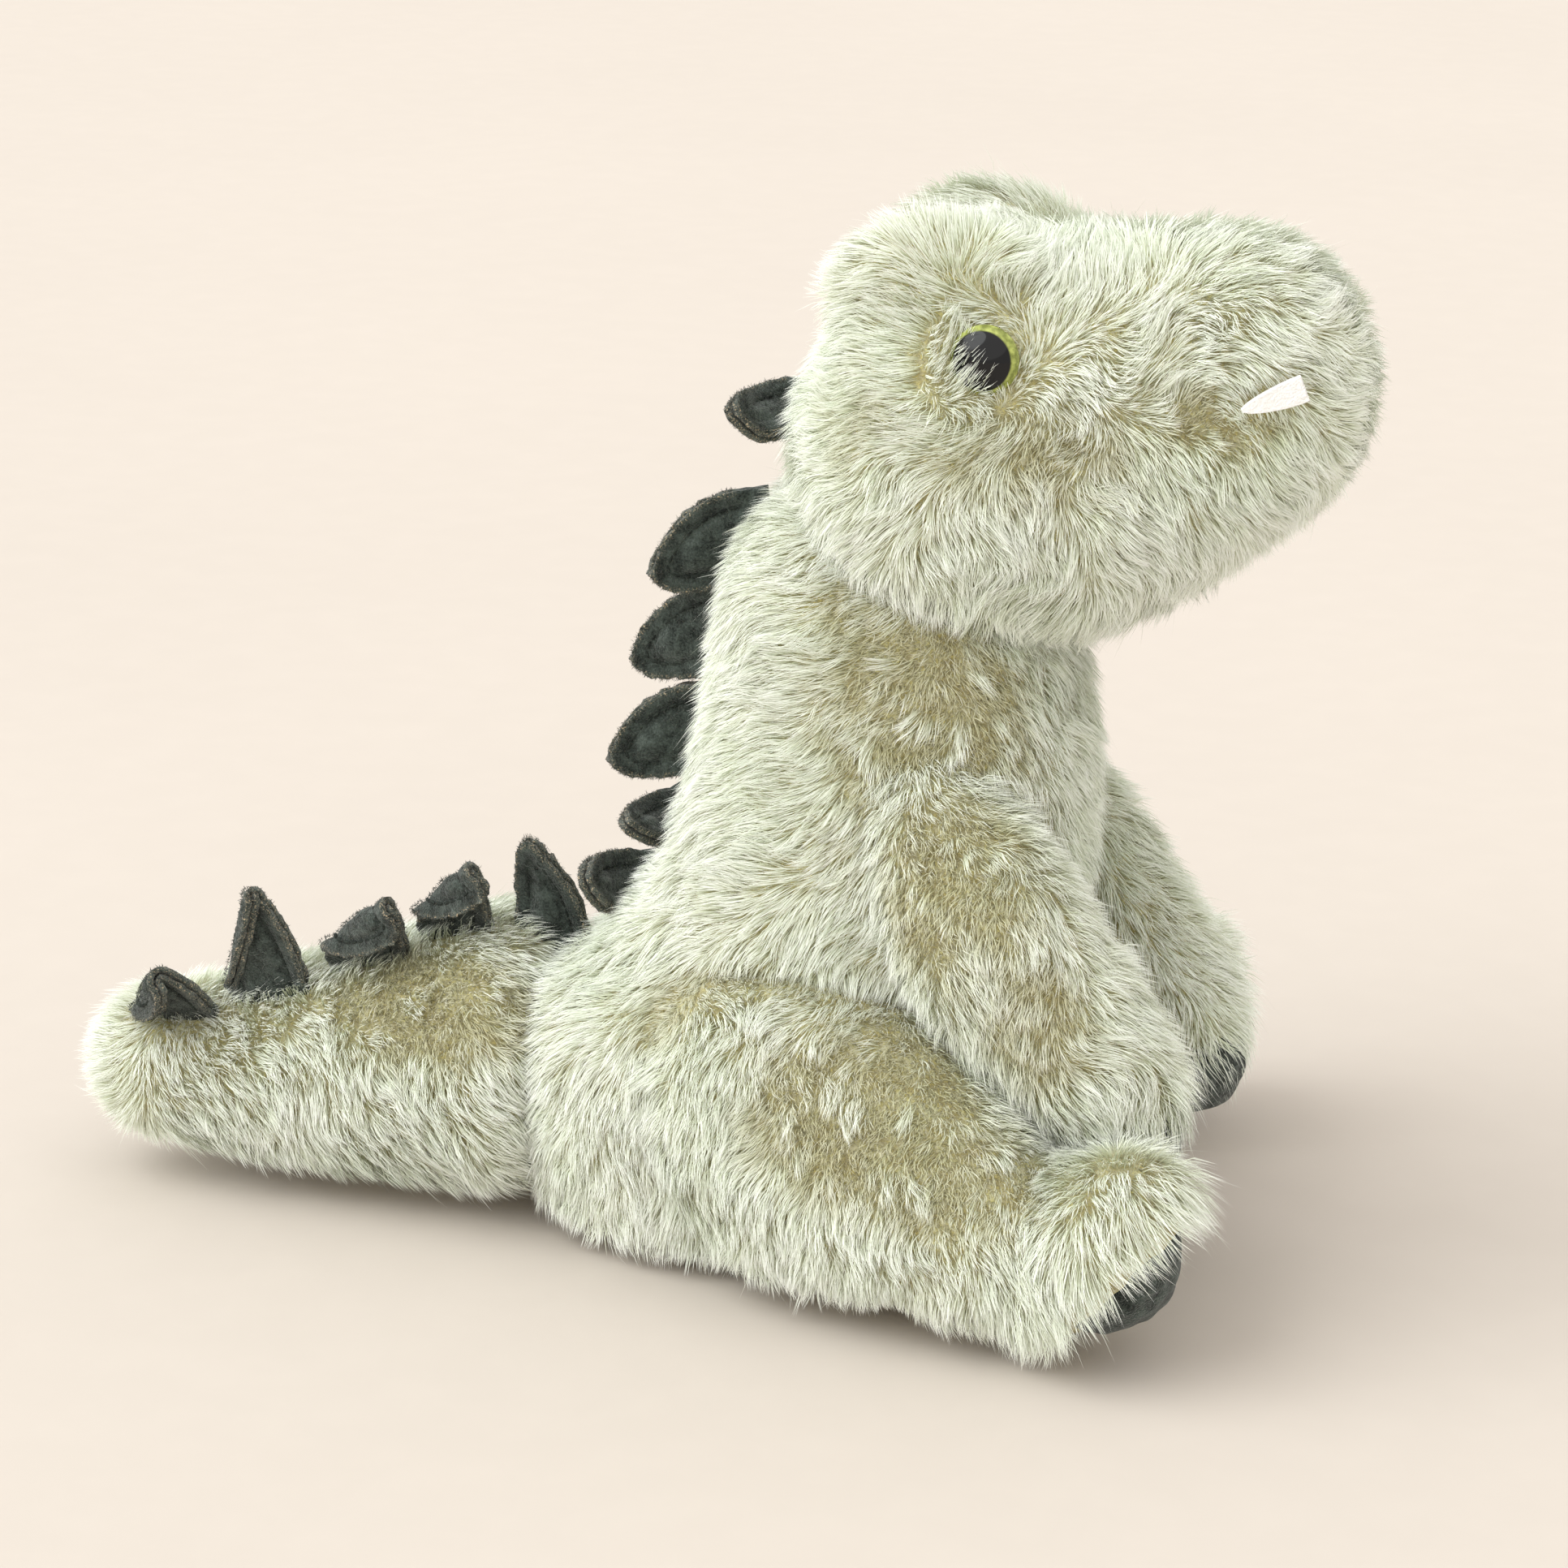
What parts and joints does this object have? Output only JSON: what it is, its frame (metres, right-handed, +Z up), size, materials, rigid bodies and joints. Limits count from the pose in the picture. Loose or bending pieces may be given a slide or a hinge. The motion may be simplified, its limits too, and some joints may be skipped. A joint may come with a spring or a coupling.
{
  "type": "stuffed dinosaur toy",
  "caption": "Sitting stuffed dinosaur with a sewn fur skin, felt spikes down its back, felt soles and palms, button eyes and small felt fangs.",
  "frame": {"origin": "on the flat bottom of the seat panel, in the middle plane of the body, where the toy rests on its surface", "axes": "+X towards the nose, +Y towards the toy's left side, +Z up"},
  "size_m": [0.2961, 0.1882, 0.2383],
  "materials": {
    "fur": "long-pile sage fur with pale tips and olive-brown roots",
    "fibre": "loose polyester fibre",
    "felt": "doubled grey-green felt with a topstitched edge",
    "white_felt": "white felt",
    "eye": "polished safety eye, black pupil in a yellow-olive iris",
    "washer": "plain moulded plastic",
    "cotton": "plain woven cotton"
  },
  "bodies": {
    "torso": {"torso_skin_left": "fur", "torso_skin_right": "fur", "seat_panel": "fur", "pellet_bag": "cotton", "torso_stuffing": "fibre", "spike_02": "felt", "spike_03": "felt", "spike_04": "felt", "spike_05": "felt", "spike_06": "felt", "spike_07": "felt"},
    "head": {"head_skin_left": "fur", "head_skin_right": "fur", "head_stuffing": "fibre", "eye_left": "eye", "eye_right": "eye", "eye_washer_left": "washer", "eye_washer_right": "washer", "fang_left": "white_felt", "fang_right": "white_felt", "spike_01": "felt"},
    "tail": {"tail_skin_left": "fur", "tail_skin_right": "fur", "tail_stuffing": "fibre", "spike_08": "felt", "spike_09": "felt", "spike_10": "felt", "spike_11": "felt"},
    "arm_left": {"arm_skin_left": "fur", "arm_stuffing_left": "fibre", "hand_palm_left": "felt"},
    "leg_left": {"leg_skin_left": "fur", "leg_stuffing_left": "fibre", "foot_sole_left": "felt"},
    "arm_right": {"arm_skin_right": "fur", "arm_stuffing_right": "fibre", "hand_palm_right": "felt"},
    "leg_right": {"leg_skin_right": "fur", "leg_stuffing_right": "fibre", "foot_sole_right": "felt"}
  },
  "joints": [
    {"name": "head_nod", "type": "hinge", "parent": "torso", "child": "head", "pos_m": [0.039, 0, 0.144], "axis": [0, -1, 0], "range_deg": [-10, 12], "stiffness_Nm_per_rad": 1.2},
    {"name": "tail_swing", "type": "hinge", "parent": "torso", "child": "tail", "pos_m": [-0.042, 0, 0.036], "axis": [0, 0, 1], "range_deg": [-15, 15], "stiffness_Nm_per_rad": 0.5},
    {"name": "arm_left_swing", "type": "hinge", "parent": "torso", "child": "arm_left", "pos_m": [0.054, 0.035, 0.111], "axis": [0, -1, 0], "range_deg": [0, 38], "stiffness_Nm_per_rad": 0.3},
    {"name": "arm_right_swing", "type": "hinge", "parent": "torso", "child": "arm_right", "pos_m": [0.054, -0.035, 0.111], "axis": [0, -1, 0], "range_deg": [0, 38], "stiffness_Nm_per_rad": 0.3},
    {"name": "leg_left_splay", "type": "hinge", "parent": "torso", "child": "leg_left", "pos_m": [0.002, 0.027, 0.037], "axis": [0, 0, 1], "range_deg": [0, 14], "stiffness_Nm_per_rad": 0.5},
    {"name": "leg_right_splay", "type": "hinge", "parent": "torso", "child": "leg_right", "pos_m": [0.002, -0.027, 0.037], "axis": [0, 0, -1], "range_deg": [0, 14], "stiffness_Nm_per_rad": 0.5}
  ]
}
